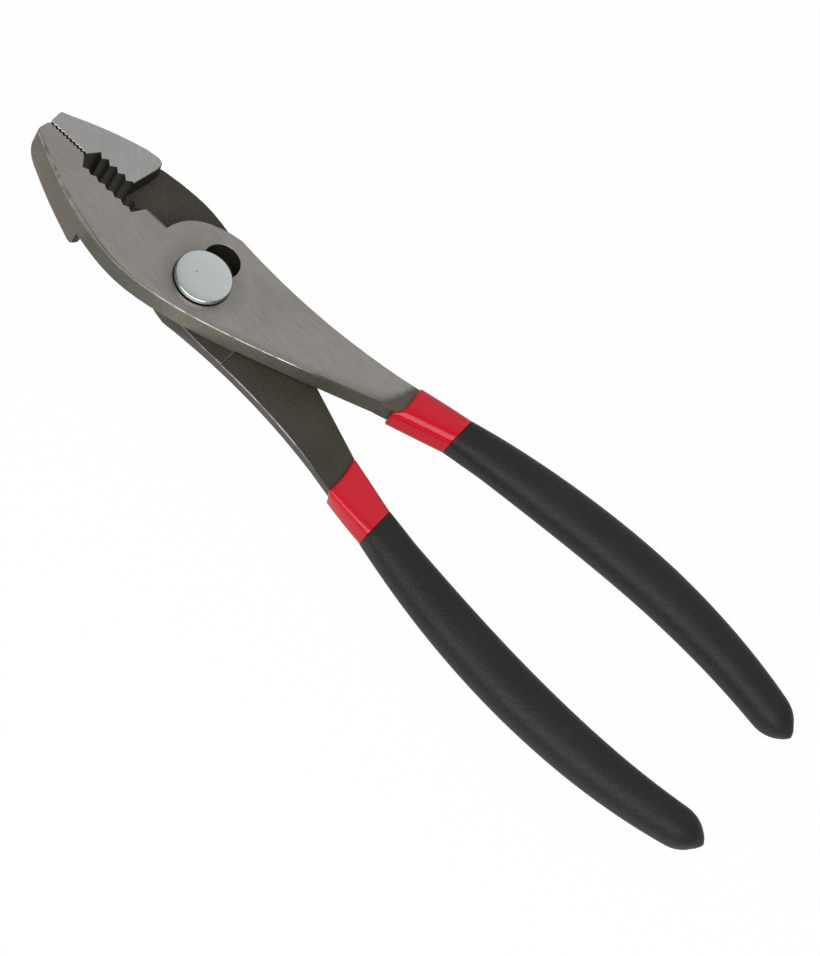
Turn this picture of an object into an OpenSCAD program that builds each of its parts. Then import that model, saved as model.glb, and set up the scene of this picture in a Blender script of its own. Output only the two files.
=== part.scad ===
// Slip joint pliers with dipped handles, drawn closed.
// The pivot pin stands on the Z axis, with its flush back end at Z = 0.
// +X runs to the handles, +Y to the front lever's handle, +Z to the front.
// Sizes are in millimetres. Lever outlines are measured from the pin along X
// and from the line where the jaws meet along Y.

/* [Jaws] */
// Pin to the end of the toothed nose flat
jaw_len = 57.2; // [50:0.2:66]
// Width of one jaw at the nose
nose_w = 4.9; // [3:0.1:7]
// How far the rounded nose stands out past the flat
nose_bow = 0.2; // [0.1:0.1:1.2]
// Length of the fine-toothed flat
fine_len = 12.4; // [8:0.2:16]
// Number of fine teeth on each jaw
fine_count = 10; // [6:1:14]
// Height of the fine teeth
fine_h = 0.5; // [0.2:0.05:0.8]
// Gap between the closed jaws
jaw_gap = 0.4; // [0.35:0.05:0.8]
// Length of the slope from the flat down into the pipe grip
gullet_len = 2.2; // [1:0.1:4]
// Depth of the pipe grip in each jaw
throat_depth = 3.8; // [2.5:0.1:5]
// Pin to the back end of the pipe grip
throat_back = 25.4; // [23.6:0.1:29]
// Number of coarse teeth in each pipe grip
coarse_count = 6; // [4:1:9]
// Height of the front jaw's coarse teeth
front_tooth_h = 0.8; // [0.4:0.05:1.6]
// Height of the rear jaw's coarse teeth
rear_tooth_h = 1.3; // [0.4:0.05:1.6]
// Pin to the back wall of the full-thickness front jaw
front_heel_x = 32.4; // [30:0.1:35]
// Pin to the back wall of the full-thickness rear jaw
rear_heel_x = 30.6; // [29:0.1:34]
// Slant of these walls, in degrees, their outer ends nearer the pin
heel_slant = 8; // [0:0.5:12]
// Rounding at the outer corner of the front jaw's wall
front_heel_r = 2.3; // [1.5:0.1:4]
// Rounding at the outer corner of the rear jaw's wall
rear_heel_r = 3.5; // [2:0.1:5]
// How far the front rounding's lowest point lies in from the lever's widest reach
front_heel_rise = 3.45; // [2.5:0.05:5]
// How far the rear rounding's lowest point lies in from the lever's widest reach
rear_heel_rise = 3.55; // [2.5:0.05:5]
// How much thinner the front jaw is at the nose than at that wall
front_thin = 1.5; // [0:0.1:3]
// How much thinner the rear jaw is at the nose than at that wall
rear_thin = 0.4; // [0:0.1:3]

/* [Levers] */
// Thickness of the closed jaws, ground face to ground face
thickness = 12.5; // [10.5:0.1:15]
// Gap between the two lapped plates
lap_gap = 0.3; // [0.2:0.05:0.6]
// Thickness of each handle tang
tang_t = 5.4; // [4:0.1:6]
// Pin to the end of the lap pad
lap_end = 18.8; // [17:0.2:26]
// Widest reach of the lever on its jaw side
belly_w = 18.75; // [16:0.25:22]
// Pin to that widest point, towards the jaws
belly_x = 16; // [12:0.5:20]
// Reach of the belly's curve from there towards the jaws
belly_front = 14; // [10:0.5:18]
// Reach of the belly's curve from there towards the handles
belly_back = 18; // [14:0.5:22]
// Height of the shear edge past the meeting line
shear_y = 0.7; // [0.3:0.1:1.5]
// Pin to the front end of the shear edge
shear_front = 23.2; // [21:0.1:23.5]
// Pin to the back end of the shear edge
shear_back = 16.2; // [15:0.1:18]
// Reach of the ground outer edge at its waist
waist_w = 12.85; // [11.5:0.05:14]
// Pin to that waist
waist_x = 18.6; // [14:0.2:24]
// Radius of the hollow outer edge
edge_r = 182; // [150:1:260]
// How much wider the lap side is than the ground side
draft = 2.1; // [1:0.1:3]
// Reach of the tang's inner edge where the dip starts
tang_in = 7.9; // [7:0.1:9]
// Slope of that edge there, in degrees
tang_slope = 23.2; // [20:0.2:26]
// Reach of that slope back towards the pin
tang_lead = 25; // [20:0.5:30]

/* [Pivot] */
// Pin axis to the line where the jaws meet
pin_offset = 3.95; // [3.2:0.05:4.6]
// Radius of the pin
pin_r = 4.8; // [4.2:0.1:5.2]
// Running clearance of the pin in the rear lever
run_clear = 0.05; // [0.02:0.01:0.1]
// Clearance of the pin in the front lever's slot
slot_clear = 0.3; // [0.2:0.05:0.5]
// Distance between the slot's two seats
slot_pitch = 8.6; // [7.4:0.1:9.6]
// Width of the neck between the seats
neck_w = 7; // [5.6:0.1:8]
// Radius of the round head
head_r = 7.8; // [7:0.1:9]
// Height of the head
head_h = 1.7; // [1:0.1:3]
// Bevel on the head's edge
head_bevel = 0.5; // [0.2:0.05:0.9]
// Play under the head and over the nut
end_play = 0.3; // [0.2:0.05:0.5]
// Radius of the round back nut
nut_r = 6.5; // [6:0.1:7.5]
// Thickness of the nut
nut_t = 2.2; // [1.5:0.1:2.8]
// Radius of the pin's threaded end
thread_r = 3.2; // [2.5:0.1:3.8]

/* [Handles] */
// Pin to the start of the red dip
dip_start = 60; // [57:0.5:66]
// Length of the red band
collar_len = 16; // [10:0.5:24]
// Pin to the handle tip
handle_tip = 192.6; // [170:0.5:220]
// Reach of the handle's centre line where the dip starts
bow_start = 13.8; // [12.8:0.1:14.6]
// Reach that the centre line is drawn towards a third of the way along
bow_near = 24; // [20:0.5:28]
// Reach that the centre line is drawn towards two thirds of the way along
bow_far = 31; // [26:0.5:36]
// Reach of the centre line at the tip
bow_tip = 18.9; // [14:0.2:24]
// Half width of the red band at its start
band_start = 6.3; // [6:0.05:7]
// Half width of the red band at its end
band_end = 5.6; // [5.2:0.05:6.4]
// How far the band's outer side leans in, as a share of its half width
band_lean = 0.28; // [0:0.02:0.4]
// Half width that the black grip swells towards
swell = 7.6; // [7:0.05:8.6]
// Half width of the black grip where its tip starts
half_tip = 5.2; // [5:0.1:6.6]
// Half thickness of the red band at its start
band_t = 4.2; // [3.9:0.05:4.8]
// Half thickness of the red band at its end
band_end_t = 4.4; // [4:0.05:5]
// Half thickness that the black grip swells towards
swell_t = 5.7; // [5:0.05:6.5]
// Half thickness of the black grip where its tip starts
half_tip_t = 4.7; // [4.4:0.1:5.6]
// Length of the rounded handle end
tip_round = 7.6; // [5:0.2:10]
// Width of the tang's core inside the dip
core_w = 8; // [6.5:0.1:9]
// How far the core's faces lie in from the tang's
core_in = 0.3; // [0.2:0.05:0.6]
// End of the core, short of the handle tip
core_short = 15; // [12:0.5:30]

/* [Hidden] */
$fn = 96;
steel = [0.55, 0.54, 0.52];
dark_steel = [0.25, 0.24, 0.21];
bright = [0.75, 0.76, 0.77];
red = [0.77, 0.17, 0.22];
black = [0.2, 0.2, 0.2];
// How far a cut runs past the face that it opens
over = 1;
// Size of the blocks that cut everything on one side
block = handle_tip;
plate_t = (thickness - lap_gap) / 2;
lap_z = thickness - plate_t;
tang_z = thickness - tang_t;
core_z = thickness - tang_t / 2;
slot_r = pin_r + slot_clear;
bore_r = pin_r + run_clear;
flat_w = neck_w - 2 * slot_clear;
dip_len = handle_tip - dip_start;
split = collar_len / dip_len;
throat_front = jaw_len - fine_len - gullet_len;
edge_top = waist_w + draft;

// Cubic curve through four control values or points
function bez(p, t) =
    pow(1 - t, 3) * p[0] + 3 * t * pow(1 - t, 2) * p[1]
    + 3 * t * t * (1 - t) * p[2] + pow(t, 3) * p[3];
// Direction of travel on that curve
function run(p, t) =
    pow(1 - t, 2) * (p[1] - p[0]) + 2 * t * (1 - t) * (p[2] - p[1])
    + t * t * (p[3] - p[2]);
// Points of a curve, the last one left to the next piece of outline
function trace(p, n) = [for (i = [0:n - 1]) bez(p, i / n)];

// Outline of one lever seen from its ground side, jaw towards -Y.
// The fine teeth of the two levers are opposite in phase, so they interlock.
// Each curve has its ends and two points it is drawn towards; the shares there
// set how full the nose, the hump and the jaw's outer side are.
fine_p = fine_len / fine_count;
coarse_p = (throat_front - throat_back) / coarse_count;
function fine_teeth(phase) =
    [for (i = [0:2 * fine_count])
        [i * fine_p / 2 - jaw_len, phase * (i % 2 - 0.5) * fine_h - jaw_gap / 2 - fine_h / 2]];
function coarse_teeth(h) =
    [for (i = [0:2 * coarse_count])
        [i * coarse_p / 2 - throat_front, (i % 2) * h - throat_depth]];
nose = [[nose_bow - jaw_len, -nose_w], [-jaw_len - nose_bow, -nose_w * 0.85],
        [-jaw_len - nose_bow * 1.5, -nose_w * 0.3], [-jaw_len, -jaw_gap]];
hump = [[-shear_back, shear_y], [-shear_back * 0.94, waist_w * 0.72],
        [-shear_back / 2, edge_top], [waist_x * 0.7, edge_top]];
outer_corner = [dip_start, waist_w * 2];
handle_side = [[dip_start, tang_in],
               [dip_start - tang_lead, tang_in - tang_lead * tan(tang_slope)],
               [belly_back - belly_x, -belly_w], [-belly_x, -belly_w]];
jaw_side = [[-belly_x, -belly_w], [-belly_x - belly_front, -belly_w],
            [-jaw_len * 0.82, -belly_w * 0.58], nose[0]];
function lever_outline(phase, tooth_h) = concat(
    trace(nose, 8),
    fine_teeth(phase),
    coarse_teeth(tooth_h),
    [[-shear_front, shear_y]],
    trace(hump, 12),
    [bez(hump, 1), outer_corner],
    trace(handle_side, 16),
    trace(jaw_side, 16));

// Handle centre line, half width and half thickness along the dip
centre = [[dip_start, bow_start], [dip_start + dip_len / 3, bow_near],
          [dip_start + dip_len * 2 / 3, bow_far], [handle_tip, bow_tip]];
function along(t, first, last, full, tip) =
    t < split ? first + (last - first) * t / split
    : bez([last, full, full, tip], (t - split) / (1 - split));
function half_w(t) = along(t, band_start, band_end, swell, half_tip);
function half_t(t) = along(t, band_t, band_end_t, swell_t, half_tip_t);
// Over this share of the dip its section eases from the tang's shape to the grip's
ease = 0.2;
function eased(t) = min(1, t / ease);
// Sections stand square to X along the band and turn square to the curve after it
function across(t) =
    let (d = run(centre, t), k = eased(max(0, t - split)), v = [-k * d[1], d[0]]) v / norm(v);

// Core of the tang inside the dip, from its start to core_end
core_end = 1 - core_short / dip_len;
core_n = 20;
function core_edge(side) =
    [for (i = [0:core_n])
        let (t = core_end * (side < 0 ? i : core_n - i) / core_n)
            bez(centre, t) + side * core_w / 2 * across(t)];
module core() {
    translate([0, 0, tang_z + core_in])
        linear_extrude(tang_t - 2 * core_in)
            polygon(concat(core_edge(-1), core_edge(1)));
}

// Loft of rounded sections; each station is [t, size factor].
// Near the start the outer side leans in to follow the tang's sloped edge.
// The lower the power, the squarer the section's corners.
ring_n = 28;
start_power = 0.45;
grip_power = 0.82;
function bend(c, e) = sign(c) * pow(abs(c), e);
function ring(t, f) =
    let (c = bez(centre, t), v = across(t), w = f * half_w(t), h = f * half_t(t),
         e = start_power + (grip_power - start_power) * eased(t),
         lean = band_lean * (1 - eased(t)))
    [for (j = [0:ring_n - 1])
        let (a = j * 360 / ring_n, up = bend(sin(a), e),
             u = w * bend(cos(a), e) * (cos(a) > 0 ? 1 - lean * (1 + up) / 2 : 1))
            [c[0] + u * v[0], c[1] + u * v[1], core_z + h * up]];
module loft(stations) {
    last = len(stations) - 1;
    sides = [for (i = [0:last - 1], j = [0:ring_n - 1])
        let (a = i * ring_n + j, b = i * ring_n + (j + 1) % ring_n)
            [[a, a + ring_n, b], [b, a + ring_n, b + ring_n]]];
    faces = concat(
        [for (s = sides) s[0]],
        [for (s = sides) s[1]],
        [[for (j = [0:ring_n - 1]) j]],
        [[for (j = [ring_n - 1:-1:0]) last * ring_n + j]]);
    polyhedron([for (s = stations, p = ring(s[0], s[1])) p], faces, convexity = 4);
}
// The tip's power is above 1, so it comes to a blunt point
collar_n = 6;
grip_n = 22;
tip_power = 1.05;
tip_start = 1 - tip_round / dip_len;
collar_stations = [for (i = [0:collar_n]) [split * i / collar_n, 1]];
grip_stations = concat(
    [for (i = [0:grip_n - 1]) [split + (tip_start - split) * i / grip_n, 1]],
    [for (a = [0:12:84]) [tip_start + (1 - tip_start) * sin(a), pow(cos(a), tip_power)]]);

// Steel lever: lapped plate, full-thickness jaw and core, before its pin hole.
// heel holds the jaw wall's place, its rounding and that rounding's rise.
module lever(phase, tooth_h, thin, heel) {
    outline = lever_outline(phase, tooth_h);
    step = over * draft / plate_t;
    difference() {
        translate([0, 0, lap_z])
            linear_extrude(plate_t)
                polygon(outline);
        translate([waist_x, waist_w + edge_r, lap_z - over])
            cylinder(h = plate_t + 2 * over, r1 = edge_r - draft - step, r2 = edge_r + step);
        translate([lap_end, -belly_w, lap_z - over])
            cube([block, block, over + tang_z - lap_z]);
    }
    intersection() {
        linear_extrude(lap_z)
            polygon(outline);
        jaw_room(thin, heel);
    }
    core();
}

// Room for the full-thickness jaw: a slanted back wall with its outer corner
// rounded, and a far face that rises towards the nose.
// The rounding meets the jaw's outer side where that runs at heel_turn degrees
// to the wall's square.
heel_turn = 25.5;
module jaw_room(thin, heel) {
    heel_r = heel[1];
    heel_y = heel_r + heel[2] + throat_depth - belly_w;
    translate([-heel[0], -throat_depth, 0])
        rotate([0, 0, heel_slant])
            difference() {
                union() {
                    translate([-block - heel_r * (1 + sin(heel_turn)), -block / 2, -over])
                        cube([block, block, thickness]);
                    translate([-heel_r * 2, heel_y, -over])
                        cube([heel_r * 2, block, thickness]);
                    translate([-heel_r, heel_y, -over])
                        cylinder(h = thickness, r = heel_r);
                }
                rotate([0, atan(thin / (jaw_len - heel[0])), 0])
                    translate([-block, -block / 2, -thickness])
                        cube([block, block, thickness]);
            }
}

// Turns a front piece over about the meeting line to make the rear one
module turned() {
    translate([0, pin_offset, thickness])
        rotate([180, 0, 0])
            children();
}

// Front lever, with the two-seat slot that the pin slips along
module front_lever() {
    color(steel)
        difference() {
            translate([0, pin_offset, 0])
                lever(1, front_tooth_h, front_thin,
                      [front_heel_x, front_heel_r, front_heel_rise]);
            for (y = [0, slot_pitch])
                translate([0, y, lap_z - over])
                    cylinder(h = plate_t + 2 * over, r = slot_r);
            translate([-neck_w / 2, 0, lap_z - over])
                cube([neck_w, slot_pitch, plate_t + 2 * over]);
        }
}

// Rear lever, with the pin's bore and the nut's recess
module rear_lever() {
    color(dark_steel)
        difference() {
            turned()
                lever(-1, rear_tooth_h, rear_thin,
                      [rear_heel_x, rear_heel_r, rear_heel_rise]);
            translate([0, 0, -over])
                cylinder(h = thickness, r = bore_r);
            translate([0, 0, -over])
                cylinder(h = over + nut_t + end_play, r = nut_r + end_play);
        }
}

// Pivot pin: head, flatted shank in the slot, round journal and threaded end
module pivot_pin() {
    head_z = thickness + end_play;
    color(bright) {
        rotate_extrude()
            polygon([[0, head_z], [head_r, head_z], [head_r, head_z + head_h - head_bevel],
                     [head_r - head_bevel, head_z + head_h], [0, head_z + head_h]]);
        intersection() {
            translate([0, 0, thickness / 2])
                cylinder(h = head_z - thickness / 2, r = pin_r);
            translate([-flat_w / 2, -pin_r * 2, 0])
                cube([flat_w, pin_r * 4, thickness * 2]);
        }
        translate([0, 0, nut_t])
            cylinder(h = thickness / 2 - nut_t, r = pin_r);
        cylinder(h = nut_t, r = thread_r);
    }
}

// Round nut, flush with the back of the rear lever
module pivot_nut() {
    color(dark_steel)
        difference() {
            cylinder(h = nut_t, r = nut_r);
            translate([0, 0, -over])
                cylinder(h = nut_t + 2 * over, r = thread_r);
        }
}

// Red band of the dip, and the black grip that follows it
module collar() {
    color(red)
        difference() {
            loft(collar_stations);
            core();
        }
}
module grip() {
    color(black)
        difference() {
            loft(grip_stations);
            core();
        }
}
module front_collar() {
    translate([0, pin_offset, 0])
        collar();
}
module rear_collar() {
    turned()
        collar();
}
module front_grip() {
    translate([0, pin_offset, 0])
        grip();
}
module rear_grip() {
    turned()
        grip();
}

front_lever();
rear_lever();
pivot_pin();
pivot_nut();
front_collar();
rear_collar();
front_grip();
rear_grip();
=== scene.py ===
from math import atan2, cos, hypot, pi, radians, sin

import bmesh
import bpy
from mathutils import Matrix, Vector


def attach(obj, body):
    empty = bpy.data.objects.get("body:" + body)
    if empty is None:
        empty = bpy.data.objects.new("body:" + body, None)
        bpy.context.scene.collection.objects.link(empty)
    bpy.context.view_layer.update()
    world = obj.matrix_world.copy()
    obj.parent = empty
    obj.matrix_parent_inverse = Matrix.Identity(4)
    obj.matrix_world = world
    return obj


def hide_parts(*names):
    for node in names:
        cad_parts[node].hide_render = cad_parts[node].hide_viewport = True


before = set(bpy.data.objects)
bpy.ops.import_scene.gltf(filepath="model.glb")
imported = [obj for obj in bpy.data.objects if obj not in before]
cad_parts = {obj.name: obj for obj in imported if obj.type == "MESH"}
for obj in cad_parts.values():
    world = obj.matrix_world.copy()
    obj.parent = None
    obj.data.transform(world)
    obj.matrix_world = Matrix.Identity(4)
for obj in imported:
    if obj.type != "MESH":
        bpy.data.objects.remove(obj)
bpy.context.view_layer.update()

# Steel levers: two drop forgings that cross on the pivot pin, the front one over the rear one.
# The outer faces are ground on a belt and the edges broken; lap, tang and walls keep the forge's dark skin.
# Each is the CAD solid with its edges rounded and its tang carried on a little way under the dip.
mm = 0.001
meeting_line = 3.95
jaw_thickness = 12.5
tang_end = 60.0
tang_tuck = Vector((3.4, 0.9, 0.0)) * mm
teeth_back, teeth_low, fine_teeth_back, front_heel = -21, -4.3, -41.5, -33
ground_edge = 0.2

# The nose's front is pushed on in steps, each (Y limit, push); the front lever's lower corner is cut round.
nose_front = -56.8
nose_steps = {
    1: ((-0.8, 0.12), (-1.8, 0.18), (-3.2, 0.2)),
    -1: ((-0.5, 0.1), (-3.2, 0.1), (-3.8, 0.1), (-4.4, 0.1), (-4.8, 0.13)),
}
nose_end, nose_turn, nose_cuts = Vector((-57.75, 0.0, 1.5)), Vector((4.0, 0.0, 6.0)), 8

# Push in Y of the rear lever's outer edge, each (X, push): the lap below, the jaw's top and heel above.
rear_lap_push = (
    (-34, 0.3), (-29.7, 1.0), (-26.9, 0.75), (-24.1, 0.6), (-21.4, 0.4), (-18.7, 0.32), (-12.4, 0.25), (-4, 0),
)
rear_heel = -29.5
rear_heel_push = (
    (-52, 0), (-43.3, -0.22), (-35.2, -0.48), (-33.8, -0.75), (-32.6, -0.65), (-31, 0), (rear_heel, 0.6),
)
heel_foot_gain, heel_back = 3.5, 0.35


def deselect_all():
    if bpy.context.mode != "OBJECT":
        bpy.ops.object.mode_set(mode="OBJECT")
    bpy.ops.object.select_all(action="DESELECT")


def work_on(piece):
    deselect_all()
    piece.select_set(True)
    bpy.context.view_layer.objects.active = piece


def pick(piece, kind, wanted):
    """Selects the points, edges or faces of the piece in edit mode that wanted() says yes to"""
    bpy.ops.mesh.select_mode(type=kind)
    bpy.ops.mesh.select_all(action="DESELECT")
    form = bmesh.from_edit_mesh(piece.data)
    form.normal_update()
    for part in {"VERT": form.verts, "EDGE": form.edges, "FACE": form.faces}[kind]:
        part.select_set(bool(wanted(part)))
    form.select_flush_mode()
    bmesh.update_edit_mesh(piece.data)


def apply_all_modifiers(piece):
    work_on(piece)
    for modifier in list(piece.modifiers):
        bpy.ops.object.modifier_apply(modifier=modifier.name)


def limited(value):
    """The value, kept between 0 and 1"""
    return max(0, min(1, value))


def between(x, table):
    """Value at x on the straight lines through a table's points, 0 outside it"""
    for (low, first), (high, last) in zip(table, table[1:]):
        if low <= x < high:
            return first + (last - first) * (x - low) / (high - low)
    return 0


def edge_round(edge, side):
    """Rounding of a lever's edge in mm, 0 where it stays sharp"""
    if len(edge.link_faces) != 2 or not edge.is_convex or edge.calc_face_angle() < radians(30):
        return 0
    a, b = (corner.co / mm for corner in edge.verts)
    x, y, z = (a + b) / 2
    y = side * (y - meeting_line)
    z = z if side > 0 else jaw_thickness - z
    steep = abs(a.z - b.z) / (a - b).length
    toothed = x < teeth_back and y > teeth_low
    below_ground = z < jaw_thickness - ground_edge
    outer_side = y > 0.8 and x < 30 or y > 11
    in_slot = hypot(x, y + meeting_line) < 14 and abs(x) < 5.3 and y > -9.5
    if side > 0 and x < -53 and y < teeth_low and below_ground:
        return 1.4 - 1.0 * steep
    if side < 0 and toothed and x < fine_teeth_back and steep < 0.5 and z < 0.8:
        return 0.16
    if steep > 0.5 or toothed or x > tang_end - 1:
        return 0
    if below_ground:
        if side < 0 and x > 4 and outer_side:
            return 0.3
        return 0.16 if side < 0 else 0.16 + 1.34 * limited((front_heel - x) / 4)
    if in_slot:
        return 0.14
    if outer_side:
        return 0.15
    if x < -14:
        return 0.45 + 0.5 * limited((x + 57) / 14) - 0.37 * limited((x + 30) / 16)
    return 0.22 + 0.36 * max(0, 1 - abs(x + 14) / 16) + 0.3 * limited((x - 36) / 12)


def draft_rear_heel(form):
    """Leans the rear jaw's outer wall and squares its heel, as the forging's draft and the belt leave them"""
    for corner in form.verts:
        x, y, z = corner.co / mm
        if z < 6.5 and y > 19.8:
            corner.co.y += between(x, rear_lap_push) * mm
        elif z > 6 and y > (15.7 if x > -31 else 12):
            push = between(x, rear_heel_push)
            if z < 7:
                push = heel_foot_gain * max(0, push)
            corner.co.y += push * mm
            corner.co.x += heel_back * max(0, push) * limited((rear_heel - x) / 0.4) * mm


def mark_faces(lever, side):
    """Marks the ground faces, the walls (-1 where hidden in the throat or slot, for painted shade) and the
    broken edges, put in slot 1 by the bevel
    """
    marks = ("ground", "wall", "broken")
    for name in marks:
        lever.data.attributes.new(name, "FLOAT", "FACE")
    ground, wall, broken = (lever.data.attributes[name] for name in marks)
    for face in lever.data.polygons:
        x, y, z = face.center / mm
        y = side * (y - meeting_line)
        facing = face.normal
        on_front, on_back = z > 11.8 and facing.z > 0, z < 1.7 and facing.z < 0
        ground.data[face.index].value = abs(facing.z) > 0.985 and (on_front or on_back)

        in_slot = abs(x) < 5.4 and -9.3 < y < 9.9
        hidden = x < -20 and (y > -4.4 or facing.x > 0.6) or in_slot
        wall.data[face.index].value = (-1 if hidden else 1) if abs(facing.z) < 0.6 else 0

        by_ground = z > 11 if side > 0 else z < 1.5
        fine_teeth = side < 0 and z > 11 and x < -41 and y > -1.5
        outer_line = side < 0 and x > 4 and 5 < z < 7 and facing.y < -0.25
        # Edges by the ground face, on the rear lever's fine teeth and along its outer line get the full mark
        # and so the most painted highlight.
        bright = by_ground or fine_teeth or outer_line
        broken.data[face.index].value = face.material_index * (1 if bright else 0.3)
        face.material_index = 0


def lever_forging(node, side):
    lever = bpy.data.objects.new(node + "_forging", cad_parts[node].data.copy())
    bpy.context.scene.collection.objects.link(lever)
    lever.data.materials.clear()
    work_on(lever)
    bpy.ops.mesh.customdata_custom_splitnormals_clear()
    bpy.ops.object.mode_set(mode="EDIT")
    bpy.ops.mesh.select_all(action="SELECT")
    bpy.ops.mesh.remove_doubles(threshold=2e-6)
    bpy.ops.mesh.dissolve_limited(angle_limit=radians(0.4))
    pick(lever, "VERT", lambda corner: abs(corner.co.x - tang_end * mm) < 0.02 * mm)
    bpy.ops.transform.translate(value=(tang_tuck.x, side * tang_tuck.y, 0))
    for reach, push in nose_steps[side]:
        pick(lever, "VERT", lambda corner: corner.co.x < nose_front * mm
             and side * (corner.co.y / mm - meeting_line) < reach)
        bpy.ops.transform.translate(value=(-push * mm, 0, 0))
    if side > 0:
        for cut in range(1, nose_cuts):
            lean = radians(cut * 90 / nose_cuts)
            on_curve = Vector((nose_turn.x * (1 - cos(lean)), 0, nose_turn.z * (1 - sin(lean))))
            bpy.ops.mesh.select_all(action="SELECT")
            bpy.ops.mesh.bisect(
                plane_co=(nose_end + on_curve) * mm, use_fill=True, clear_outer=True,
                plane_no=Vector((-cos(lean) / nose_turn.x, 0, -sin(lean) / nose_turn.z)).normalized(),
            )
    bpy.ops.object.mode_set(mode="OBJECT")

    form = bmesh.new()
    form.from_mesh(lever.data)
    if side < 0:
        draft_rear_heel(form)
        form.normal_update()
    weight = form.edges.layers.float.new("bevel_weight_edge")
    for edge in form.edges:
        edge[weight] = edge_round(edge, side)
    form.to_mesh(lever.data)
    form.free()

    rounding = lever.modifiers.new("broken edges", "BEVEL")
    rounding.limit_method = "WEIGHT"
    rounding.width = 1 * mm
    rounding.segments = 3
    rounding.use_clamp_overlap = False
    rounding.material = 1
    lever.data.materials.append(None)
    lever.data.materials.append(None)
    apply_all_modifiers(lever)
    bpy.ops.object.shade_smooth_by_angle(angle=radians(32))
    flats = lever.modifiers.new("flat faces stay flat", "WEIGHTED_NORMAL")
    flats.keep_sharp = True
    apply_all_modifiers(lever)
    mark_faces(lever, side)
    lever.data.materials.pop()
    return lever


class Finish:
    """A value in a material's nodes: arithmetic on it adds Math nodes"""

    def __init__(self, tree, socket=None):
        self.tree, self.socket = tree, socket

    def node(self, kind, settings=None, sockets=None, out=0):
        made = self.tree.nodes.new("ShaderNode" + kind)
        for name, value in (settings or {}).items():
            setattr(made, name, value)
        for name, value in (sockets or {}).items():
            if isinstance(value, Finish):
                self.tree.links.new(value.socket, made.inputs[name])
            else:
                made.inputs[name].default_value = value
        return Finish(self.tree, made.outputs[out])

    def beside(self, name):
        """Another output of the node that this value comes from"""
        return Finish(self.tree, self.socket.node.outputs[name])

    def math(self, operation, *values):
        return self.node("Math", {"operation": operation}, dict(enumerate(values)))

    def __add__(self, other):
        return self.math("ADD", self, other)

    def __sub__(self, other):
        return self.math("SUBTRACT", self, other)

    def __rsub__(self, other):
        return self.math("SUBTRACT", other, self)

    def __mul__(self, other):
        return self.math("MULTIPLY", self, other)

    def __pow__(self, other):
        return self.math("POWER", self, other)

    __radd__, __rmul__ = __add__, __mul__

    def at_least(self, other):
        return self.math("MAXIMUM", self, other)

    def rise(self, low, high):
        """0 below low, 1 above high, smooth between them"""
        return self.node("MapRange", {"interpolation_type": "SMOOTHSTEP"}, {0: self, 1: low, 2: high})

    def blend(self, first, second):
        """Colour that goes from the first to the second with this value"""
        return self.node("Mix", {"data_type": "RGBA"}, {0: self, 6: first, 7: second}, out=2)

    def shaded(self, shade):
        """This colour multiplied by another"""
        settings = {"data_type": "RGBA", "blend_type": "MULTIPLY"}
        return self.node("Mix", settings, {0: 1.0, 6: self, 7: shade}, out=2)

    def bump(self, strength, depth):
        """Normal of a surface that this height stands out of, depth in mm"""
        return self.node("Bump", None, {"Strength": strength, "Distance": depth * mm, "Height": self})

    def place(self):
        return self.node("TexCoord", out="Object")

    def grain(self, scale, detail=3, stretch=(1, 1, 1), turn=0.0, roughness=0.5):
        """Noise with features of about 1 / scale metres, drawn out by stretch along axes turned about Z"""
        laid = self.node(
            "Mapping", {"vector_type": "TEXTURE"},
            {"Vector": self.place(), "Rotation": (0, 0, turn), "Scale": stretch},
        )
        sockets = {"Vector": laid, "Scale": scale, "Detail": detail, "Roughness": roughness}
        return self.node("TexNoise", None, sockets)

    def marked(self, name):
        return self.node("Attribute", {"attribute_name": name}, out="Fac")


def new_finish(name):
    material = bpy.data.materials.new(name)
    material.use_nodes = True
    tree = material.node_tree
    return material, Finish(tree), tree.nodes["Principled BSDF"]


def feed(finish, shader, **sockets):
    for name, value in sockets.items():
        target = shader.inputs[name.replace("_", " ")]
        if isinstance(value, Finish):
            finish.tree.links.new(value.socket, target)
        else:
            target.default_value = value


def tone(red, green, blue):
    """Linear colour of an 8-bit screen colour"""
    levels = (value / 255 for value in (red, green, blue))
    return tuple(((v + 0.055) / 1.055) ** 2.4 if v > 10 / 255 else v / 12.92 for v in levels) + (1,)


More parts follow.
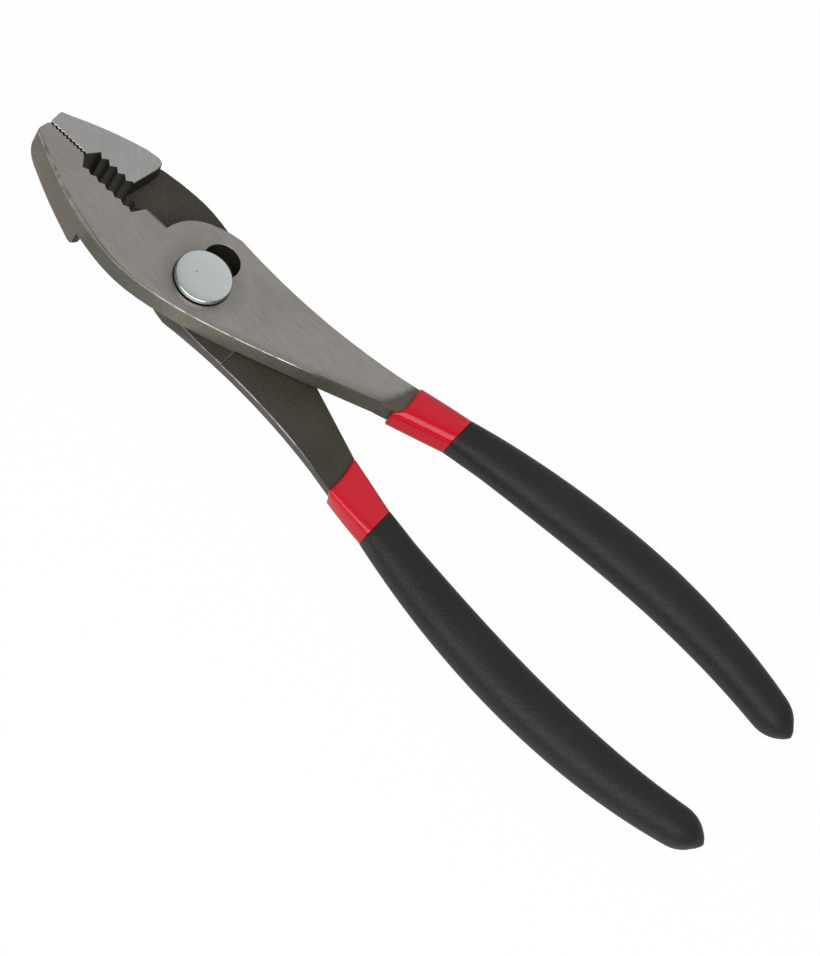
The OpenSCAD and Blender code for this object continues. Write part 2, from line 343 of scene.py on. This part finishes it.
def lever_steel(name, side, ground_light, ground_dark, brush_turn, edge_shine, ground_roughness):
    material, steel, shader = new_finish(name)
    place = steel.node("SeparateXYZ", None, {0: steel.place()})
    x, across = place * (1 / mm), place.beside("Y") * (1 / mm)
    y = across * side - side * meeting_line
    ahead = x * -1
    ground, wall, broken = (steel.marked(mark) for mark in ("ground", "wall", "broken"))
    if side > 0:
        shine_start, shine_end = x.rise(-8, 4), 1 - x.rise(30, 41)
        broken = broken * shine_end
        nose_shine = 0.3
    else:
        shine_start, shine_end = x.rise(2, 32), 1
        nose_shine = 0.9

    brush = steel.grain(3600, 4, (11, 1, 4), brush_turn, 0.65)
    long_brush = steel.grain(500, 2, (22, 1, 4), brush_turn)
    cloud = steel.grain(70, 3)
    speckle = steel.grain(1500, 2)
    pit = steel.grain(420, 4).rise(0.62, 0.75)

    # The belt's satin, with faint smudges.
    satin = (brush * 1.2 + long_brush * 0.25 + cloud * 0.5 - 0.475).blend(ground_dark, ground_light)
    smudge = cloud.rise(0.52, 0.8) * 0.22
    satin = smudge.blend(satin, tone(158, 146, 130))

    # The skin of the forge, paler on the walls; in the teeth and the slot it is darkened further by painted
    # shade.
    skin = (speckle * 0.6 + cloud * 0.5).rise(0.3, 0.8).blend(tone(54, 51, 44), tone(76, 71, 62))
    skin = (pit * 0.35).blend(skin, tone(94, 76, 56))
    wall_skin = (cloud * 0.6 + speckle * 0.5).rise(0.25, 0.85)
    jaw_wall = ahead.rise(28.5, 31)
    forged_wall = jaw_wall.blend(
        wall_skin.blend(tone(94, 92, 80), tone(126, 122, 108)),
        wall_skin.blend(tone(85, 79, 70), tone(119, 110, 98)),
    )
    if side < 0:
        forged_wall = (x.rise(-20, 6) * 0.85).blend(forged_wall, tone(44, 42, 36))
    behind_heel = ahead.rise(-2, 14) * (1 - jaw_wall)
    forged_wall = (behind_heel * 0.6).blend(forged_wall, tone(62, 62, 54))
    forged_wall = (x.rise(20, 52) * 0.7).blend(forged_wall, tone(58, 54, 46))
    # Walls hidden in the throat and the slot get painted shade: the skin multiplied darker.
    painted_hollow_shade = (wall * -1).rise(0, 1)
    dark = painted_hollow_shade.blend(wall.blend(skin, forged_wall), skin.shaded((0.42, 0.43, 0.42, 1)))

    # The belt runs off the tang in streaks along a line that curves to the inner edge.
    streak = steel.grain(3000, 4, (3, 1, 4), radians(8), 0.75)
    inner_edge = y - (x * 0.432 - 18.02)
    reach = (x - 36 + (streak - 0.5) * 5).at_least(0)
    late = (reach - 15.5).at_least(0) * (1 / 8.5)
    forged_end = (reach * 0.08 + late ** 3 * 14 - inner_edge).rise(-3.6, 3.2)
    bare = ground * (1 - forged_end)
    end_skin = wall_skin.blend(tone(80, 75, 66), tone(100, 94, 84))
    colour = ground.blend(dark, forged_end.blend(satin, end_skin))

    # Handling rubs the broken edges bright, at the nose and on the shank behind the pin; the near-white there
    # is partly worn metal and partly a painted highlight.
    rub_and_glint = broken * (0.35 + 0.65 * steel.grain(260, 3).rise(0.35, 0.6))
    nose_rub_and_glint = ahead.rise(24, 42) * nose_shine
    edge_light = (shine_start * shine_end * edge_shine + nose_rub_and_glint + 0.1) * rub_and_glint
    colour = edge_light.blend(broken.blend(colour, tone(108, 106, 94)), tone(232, 231, 225))

    # Oil smears round the pin's head, partly painted shade, and a painted shadow ring under its rim.
    from_pin = (x * x + across * across) ** 0.5
    smear_and_shade = ground * (1 - from_pin.rise(8.4, 14)) * (0.2 + 0.5 * long_brush) * 0.7
    colour = smear_and_shade.blend(colour, tone(118, 113, 108))
    # Painted contact shadow: a dark ring on the ground face close round the pin's head.
    painted_rim_shadow = ground * (1 - from_pin.rise(7.8, 8.2)) * (0.75 + 0.5 * speckle)
    colour = painted_rim_shadow.blend(colour, tone(46, 44, 38))

    bare_edge = bare.at_least(broken)
    bare_roughness = ground_roughness + 0.14 * (brush - 0.5)
    skin_roughness = 0.56 + 0.16 * (speckle - 0.5)
    height = brush * 0.6 * bare + (speckle * 0.7 + pit) * (1 - bare) * 0.8
    feed(
        steel, shader, Base_Color=colour, Metallic=0.35 + 0.6 * bare_edge, Specular_IOR_Level=0.4,
        Roughness=bare_edge * bare_roughness + (1 - bare_edge) * skin_roughness, Normal=height.bump(0.16, 0.06),
    )
    return material


front_steel = lever_steel("ground steel", 1, tone(192, 187, 182), tone(143, 138, 133), 0.0, 0.95, 0.47)
rear_steel = lever_steel("dark steel", -1, tone(208, 206, 204), tone(168, 166, 164), radians(-54), 0.6, 0.54)
for node, side, body, slot, steel in (
    ("front_lever", 1, "front", "ground_steel", front_steel),
    ("rear_lever", -1, "rear", "dark_steel", rear_steel),
):
    lever = lever_forging(node, side)
    lever.data.materials[0] = steel
    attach(lever, body)
    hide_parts(node)

# Pivot pin: turned steel, plated bright, with a round head, a flatted shank that runs in the slot,
# a round journal for the rear lever's bore and a short end for the nut.
# It goes in from the front and is held by the nut behind.
head_r, head_low, head_top = 7.8, 12.8, 14.5
crown, crown_ring = 0.16, 1.3
crown_shares = (0.45, 0.27, 0.16, 0.09, 0.03)
pin_r, flat_half, journal_top, nut_top, end_r = 4.8, 3.2, 6.25, 2.2, 3.2


def turned(name, radius, low, high, around=64):
    """A straight turned length on the pivot axis, sizes in mm"""
    deselect_all()
    bpy.ops.mesh.primitive_cylinder_add(
        vertices=around, radius=radius * mm, depth=(high - low) * mm, location=(0, 0, (low + high) / 2 * mm)
    )
    bpy.ops.object.transform_apply(location=True, rotation=True, scale=True)
    bpy.context.object.name = name
    return bpy.context.object


def break_rim(piece, height, width, segments):
    """Rounds the flat rim of a turned piece at a height, all in mm"""
    bpy.ops.object.mode_set(mode="EDIT")
    pick(piece, "EDGE", lambda edge: all(abs(corner.co.z - height * mm) < 1e-7 for corner in edge.verts)
         and edge.calc_face_angle(0) > 0.5)
    bpy.ops.mesh.bevel(offset=width * mm, segments=segments, affect="EDGES", clamp_overlap=True)
    bpy.ops.object.mode_set(mode="OBJECT")


pin = turned("pivot_pin_turned", head_r, head_low, head_top - crown, 96)
break_rim(pin, head_top - crown, 0.38, 5)
break_rim(pin, head_low, 0.4, 3)
bpy.ops.object.mode_set(mode="EDIT")
pick(pin, "FACE", lambda face: face.normal.z > 0.99 and face.calc_center_median().z > 14 * mm)
for share in crown_shares:
    bpy.ops.mesh.inset(thickness=crown_ring * mm)
    bpy.ops.transform.translate(value=(0, 0, crown * share * mm))
bpy.ops.object.mode_set(mode="OBJECT")

shank = turned("pivot_shank", pin_r, journal_top, head_low)
bpy.ops.object.mode_set(mode="EDIT")
for way in (-1, 1):
    bpy.ops.mesh.select_all(action="SELECT")
    bpy.ops.mesh.bisect(
        plane_co=(way * flat_half * mm, 0, 0), plane_no=(way, 0, 0), use_fill=True, clear_outer=True
    )
bpy.ops.object.mode_set(mode="OBJECT")
journal = turned("pivot_journal", pin_r, nut_top, journal_top)
break_rim(journal, journal_top, 0.2, 2)
end = turned("pivot_end", end_r, 0, nut_top, 48)
break_rim(end, 0, 0.3, 2)
work_on(pin)
for length in (shank, journal, end):
    length.select_set(True)
bpy.ops.object.join()
bpy.ops.object.shade_smooth_by_angle(angle=radians(30))

material, chrome, shader = new_finish("bright plating")
haze = chrome.grain(160, 4)
wipe = chrome.grain(900, 3, (6, 1, 3), radians(35))
nick = chrome.grain(520, 2).rise(0.68, 0.76)
plate = (haze * 0.6 + wipe * 0.4).blend(tone(199, 206, 207), tone(217, 222, 222))
plate = (nick * 0.6).blend(plate, tone(120, 122, 120))
feed(
    chrome, shader, Base_Color=plate, Metallic=1.0, Roughness=0.16 + 0.1 * haze + 0.3 * nick,
    Normal=(haze + wipe * 0.4).bump(0.05, 0.05),
)
pin.data.materials.append(material)
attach(pin, "pivot")
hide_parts("pivot_pin")

# Back nut: a plain round nut, turned from steel and blacked in oil.
# It screws on the pin's end and lies flush in a recess in the rear lever's back.
nut_r = 6.5
turning_pitch = 22000
nut = turned("back_nut_turned", nut_r, 0, nut_top)
bpy.ops.object.mode_set(mode="EDIT")
pick(nut, "FACE", lambda face: abs(face.normal.z) > 0.99)
bpy.ops.mesh.inset(thickness=(nut_r - end_r) * mm, use_individual=True)
bpy.ops.mesh.bridge_edge_loops()
bpy.ops.object.mode_set(mode="OBJECT")
break_rim(nut, 0, 0.25, 2)
break_rim(nut, nut_top, 0.25, 2)
bpy.ops.object.shade_smooth_by_angle(angle=radians(32))

material, oiled, shader = new_finish("oiled nut steel")
place = oiled.node("SeparateXYZ", None, {0: oiled.place()})
across = place.beside("Y")
radius = (place * place + across * across) ** 0.5
turning = oiled.math("SINE", radius * turning_pitch) * 0.5 + 0.5
film = oiled.grain(300, 3)
feed(
    oiled, shader, Base_Color=(film * 0.7 + turning * 0.3).blend(tone(70, 68, 62), tone(124, 120, 112)),
    Metallic=0.85, Roughness=0.34 + 0.16 * film, Normal=turning.bump(0.2, 0.03),
)
nut.data.materials.append(material)
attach(nut, "pivot")
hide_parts("pivot_nut")

# Red bands: the first part of the vinyl dip on each tang, glossy on top, with a rounded lip at its front.
# Each is a straight tube first, then laid along the bowed handle, over the steel.
# The dip creeps a little further on one side than on the other, as it drains.
dip_start, dip_end, band_len = 60.0, 192.6, 16.0
dip_len = dip_end - dip_start
band_share = band_len / dip_len
bow = (
    (dip_start, 13.8), (dip_start + dip_len / 3, 24.0), (dip_start + dip_len * 2 / 3, 31.0), (dip_end, 18.9),
)
handle_height = 9.8
tube_r, tube_sides = 5.0, 72
seams = {1: 15.65, -1: 16.35}
sags = {1: -0.2, -1: 0.1}

# Half of the handle's section at the lip, the seam, the two swells of the grip and the tip.
half_widths = (6.3, 5.6, 8.5, 7.6, 5.2)
half_depths = (4.2, 4.4, 5.7, 5.7, 4.7)

# The section is squarest at the lip and nearly an oval on the grip; the lip leans in on its outer side.
square_power, grip_power, lip_lean = 0.35, 0.83, 0.28


def curve(points, t):
    a, b, c, d = points
    return a * (1 - t) ** 3 + 3 * b * t * (1 - t) ** 2 + 3 * c * t * t * (1 - t) + d * t ** 3


def bow_at(t):
    """X and Y of the handle's middle line at a share t of the dip"""
    return [curve(places, t) for places in zip(*bow)]


def along(t, sizes):
    """Size at a share t of the dip: straight on the band, curved on the grip"""
    first, last, *rest = sizes
    if t < band_share:
        return first + (last - first) * t / band_share
    return curve((last, *rest), (t - band_share) / (1 - band_share))


def power(value, exponent):
    return abs(value) ** exponent * (1 if value > 0 else -1)


def lay_on_handle(tube, side, lip, flare, square):
    """Moves a straight tube's points onto the section of the bowed handle that each belongs to"""
    for corner in tube.data.vertices:
        x, y, z = corner.co / mm
        angle, share = atan2(z, y), hypot(y, z) / tube_r
        t = x / dip_len
        eased, turn = limited(t / 0.2), limited((t - band_share) / 0.2)
        lip_power = square if z > 0 else square_power
        exponent = lip_power + (grip_power - lip_power) * eased ** 1.8
        outward, up = power(cos(angle), exponent), power(sin(angle), exponent)
        t += lip(outward, up * side) * max(0, 1 - x / band_len) / dip_len
        run = [ahead - behind for ahead, behind in zip(bow_at(t + 1e-4), bow_at(t - 1e-4))]
        across = Vector((-turn * run[1], run[0])).normalized()
        lean = lip_lean * (1 - eased) * (1 + up) / 2 if outward > 0 else 0
        half_width, half_depth = along(t, half_widths), along(t, half_depths)
        if outward * flare > 0:
            half_width += abs(flare) * max(0, 1 - t / band_share)
        sag = sags[side] * sin(pi * limited((t - band_share) / 0.5))
        flat = Vector(bow_at(t)) + across * (share * half_width * outward * (1 - lean) + sag)
        height = handle_height + share * half_depth * up
        if side > 0:
            corner.co = Vector((flat.x, meeting_line + flat.y, height)) * mm
        else:
            corner.co = Vector((flat.x, meeting_line - flat.y, jaw_thickness - height)) * mm


def straight_tube(name, low, high, cuts):
    """A closed straight tube along X from low to high mm, cut into rings"""
    deselect_all()
    bpy.ops.mesh.primitive_cylinder_add(
        vertices=tube_sides, radius=tube_r * mm, depth=(high - low) * mm,
        location=((low + high) / 2 * mm, 0, 0), rotation=(0, pi / 2, 0),
    )
    tube = bpy.context.object
    tube.name = name
    bpy.ops.object.transform_apply(location=True, rotation=True, scale=True)
    bpy.ops.object.mode_set(mode="EDIT")
    pick(tube, "EDGE", lambda edge: abs(edge.verts[0].co.x - edge.verts[1].co.x) > 1 * mm)
    bpy.ops.mesh.subdivide(number_cuts=cuts)
    return tube


def round_end(tube, x, width, segments):
    """Rounds the outer rim of a tube at x, all in mm, and merges the rounding with a ring that it reaches"""
    def on_rim(corner):
        return abs(corner.co.x - x * mm) < 1e-7 and hypot(corner.co.y, corner.co.z) > 0.98 * tube_r * mm
    pick(tube, "EDGE", lambda edge: all(on_rim(corner) for corner in edge.verts))
    bpy.ops.mesh.bevel(offset=width * mm, segments=segments, affect="EDGES", clamp_overlap=True)
    bpy.ops.mesh.select_all(action="SELECT")
    bpy.ops.mesh.remove_doubles(threshold=1e-6)


def front_lip(outward, up):
    """How far the front band's lip draws back, in mm, round its section"""
    face = limited((up - 0.62) / 0.3)
    near = limited((-0.3 - outward) / 0.5)
    return face * (0.1 + 0.55 * (1 - outward)) - (1 - face) * 0.8 * near


def rear_lip(outward, up):
    """How far the rear band's lip draws back, in mm, round its section"""
    face = 1.45 + 0.65 * outward - 0.6 * outward ** 2
    lower = limited((0.8 - up) / 1.2) * limited(outward)
    return face + lower


material, vinyl, shader = new_finish("red dip")
flow = vinyl.grain(120, 3)
fine = vinyl.grain(1500, 2)
dust = vinyl.grain(700, 3).rise(0.66, 0.74)
gloss = vinyl.marked("upper").rise(-0.1, 0.6)
red = (flow * 0.8 + fine * 0.2).blend(tone(189, 14, 35), tone(203, 22, 44))
feed(
    vinyl, shader, Base_Color=(dust * 0.12).blend(red, tone(230, 140, 140)),
    Roughness=0.14 + 0.1 * flow + 0.2 * dust, Specular_IOR_Level=0.1,
    Coat_Weight=0.04 + 0.42 * gloss, Coat_Roughness=0.16, Normal=(flow + fine * 0.15).bump(0.08, 0.2),
)
shapes = {1: (front_lip, -1.4, 0.6), -1: (rear_lip, 1.1, 0.4)}
for body, side in (("front", 1), ("rear", -1)):
    band = straight_tube(body + "_red_band", 0, seams[side], 23)
    pick(band, "FACE", lambda face: abs(face.normal.x) > 0.99)
    bpy.ops.mesh.inset(thickness=0.42 * tube_r * mm, use_individual=True)
    bpy.ops.mesh.bridge_edge_loops()
    round_end(band, 0, 0.7, 5)
    round_end(band, seams[side], 0.12, 2)
    bpy.ops.object.mode_set(mode="OBJECT")
    upper = band.data.attributes.new("upper", "FLOAT", "POINT")
    for corner in band.data.vertices:
        upper.data[corner.index].value = side * corner.co.z / (tube_r * mm)
    lay_on_handle(band, side, *shapes[side])
    bpy.ops.object.shade_smooth_by_angle(angle=radians(40))
    band.data.materials.append(material)
    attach(band, body)
    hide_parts(body + "_collar")

# Black grips: the rest of the dip, a thicker vinyl with a fine crepe grain, closed over the tang's end.
# Each is a straight tube drawn in to a blunt tip, then laid along the bowed handle.
# It meets the red band in a thin line, with no step, and its tip keeps the point of the last drip.
tip_round, tip_steps, tip_step = 7.6, 8, radians(10.5)
drip, drip_spread = 0.9, 3.2
material, crepe, shader = new_finish("black crepe dip")
pebble = crepe.grain(2400, 2, roughness=0.6)
cell = crepe.node(
    "TexVoronoi", {"feature": "SMOOTH_F1"}, {"Vector": crepe.place(), "Scale": 2000.0, "Smoothness": 0.6}
)
worn = crepe.grain(60, 3)
grain = pebble * 0.7 + cell * 0.5
# The pale specks in the base colour are partly the crepe's own grain and partly painted sparkle.
feed(
    crepe, shader,
    Base_Color=(grain * 0.7 + worn * 0.4).rise(0.3, 0.9).blend(tone(21, 22, 20), tone(36, 37, 35)),
    Roughness=0.47 + 0.1 * worn + 0.12 * (pebble - 0.5), Specular_IOR_Level=0.3, Normal=grain.bump(0.9, 0.2),
)
for body, side in (("front", 1), ("rear", -1)):
    grip = straight_tube(body + "_black_grip", seams[side], dip_len - tip_round, 63)
    round_end(grip, seams[side], 0.12, 2)
    pick(grip, "FACE", lambda face: face.normal.x > 0.99 and face.calc_center_median().x > 100 * mm)
    done, wide = 0.0, 1.0
    for step in range(1, tip_steps + 1):
        far, narrow = sin(step * tip_step) * tip_round, cos(step * tip_step) ** 1.05
        bpy.ops.mesh.extrude_region_move(TRANSFORM_OT_translate={"value": ((far - done) * mm, 0, 0)})
        bpy.ops.transform.resize(value=(1, narrow / wide, narrow / wide))
        done, wide = far, narrow
    bpy.ops.mesh.extrude_region_move(TRANSFORM_OT_translate={"value": ((tip_round - done) * mm, 0, 0)})
    bpy.ops.mesh.merge(type="CENTER")
    bpy.ops.object.mode_set(mode="OBJECT")
    lay_on_handle(grip, side, *shapes[side])
    bpy.ops.object.mode_set(mode="EDIT")
    furthest = max(corner.co.x for corner in bmesh.from_edit_mesh(grip.data).verts)
    pick(grip, "VERT", lambda corner: corner.co.x > furthest - 1e-7)
    bpy.ops.transform.translate(
        value=(drip * mm, 0, 0), use_proportional_edit=True, proportional_edit_falloff="LINEAR",
        proportional_size=drip_spread * mm,
    )
    bpy.ops.object.mode_set(mode="OBJECT")
    bpy.ops.object.shade_smooth_by_angle(angle=radians(40))
    grip.data.materials.append(material)
    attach(grip, body)
    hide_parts(body + "_grip")

# Studio: a pale floor under the pliers that the camera sees as white, with the pliers' shadow on it.
# One wide soft box hangs overhead and two stand in front, in a grey surround that is paler behind the pliers.
# The camera stands at the photograph's angle.
floor_z = -2.8
floor_glow = 0.96
deselect_all()
bpy.ops.mesh.primitive_plane_add(size=6, location=(0.08, 0, floor_z * mm))
floor = bpy.context.object
floor.name = "floor"
material, pale, shader = new_finish("pale floor")
feed(pale, shader, Base_Color=(0.95, 0.95, 0.95, 1), Roughness=0.9, Specular_IOR_Level=0.1)
path = pale.node("LightPath", out="Is Camera Ray")
seen = path.at_least(path.beside("Is Glossy Ray")).at_least(path.beside("Is Transmission Ray"))
glow = pale.node("Emission", None, {"Color": (1, 1, 1, 1), "Strength": 1.0})
mixed = pale.node("MixShader", None, {0: seen * floor_glow, 1: Finish(pale.tree, shader.outputs[0]), 2: glow})
pale.tree.links.new(mixed.socket, pale.tree.nodes["Material Output"].inputs["Surface"])
floor.data.materials.append(material)

paler_way = (-0.02, 0.785, 0.62)
world = bpy.data.worlds.new("grey surround")
world.use_nodes = True
surround = Finish(world.node_tree)
way = surround.node("TexCoord", out="Generated")
behind = surround.node("VectorMath", {"operation": "DOT_PRODUCT"}, {0: way, 1: paler_way}, out="Value")
feed(
    surround, world.node_tree.nodes["Background"], Color=(1, 1, 1, 1),
    Strength=0.14 + 0.64 * behind.rise(0.7, 1.0),
)
bpy.context.scene.world = world

aim = Vector((0.06, 0, 0))
for name, place, size, watts in (
    ("overhead box", Vector((-0.15, -0.42, 1.1)), 1.2, 1.4),
    ("right front box", Vector((0.44, -0.62, 1.0)), 0.95, 10.4),
    ("left front box", Vector((-0.20, -0.84, 0.80)), 0.7, 4.6),
):
    deselect_all()
    bpy.ops.object.light_add(type="AREA", location=place)
    box = bpy.context.object
    box.name = name
    box.data.shape = "SQUARE"
    box.data.size = size
    box.data.energy = watts
    box.rotation_euler = (aim - place).to_track_quat("-Z", "Y").to_euler()

lens = bpy.data.cameras.new("photo camera")
lens.lens, lens.sensor_width = 101.6, 36.0
lens.clip_start, lens.clip_end = 0.01, 20
camera = bpy.data.objects.new("photo camera", lens)
bpy.context.scene.collection.objects.link(camera)
camera.matrix_world = (
    Matrix.Translation(Vector((91.644, -397.124, 583.016)) * mm)
    @ Matrix.Rotation(radians(2.5), 4, "Z")
    @ Matrix.Rotation(radians(34.8), 4, "X")
    @ Matrix.Rotation(radians(41.0), 4, "Z")
)
bpy.context.scene.camera = camera
bpy.context.scene.view_settings.view_transform = "Standard"
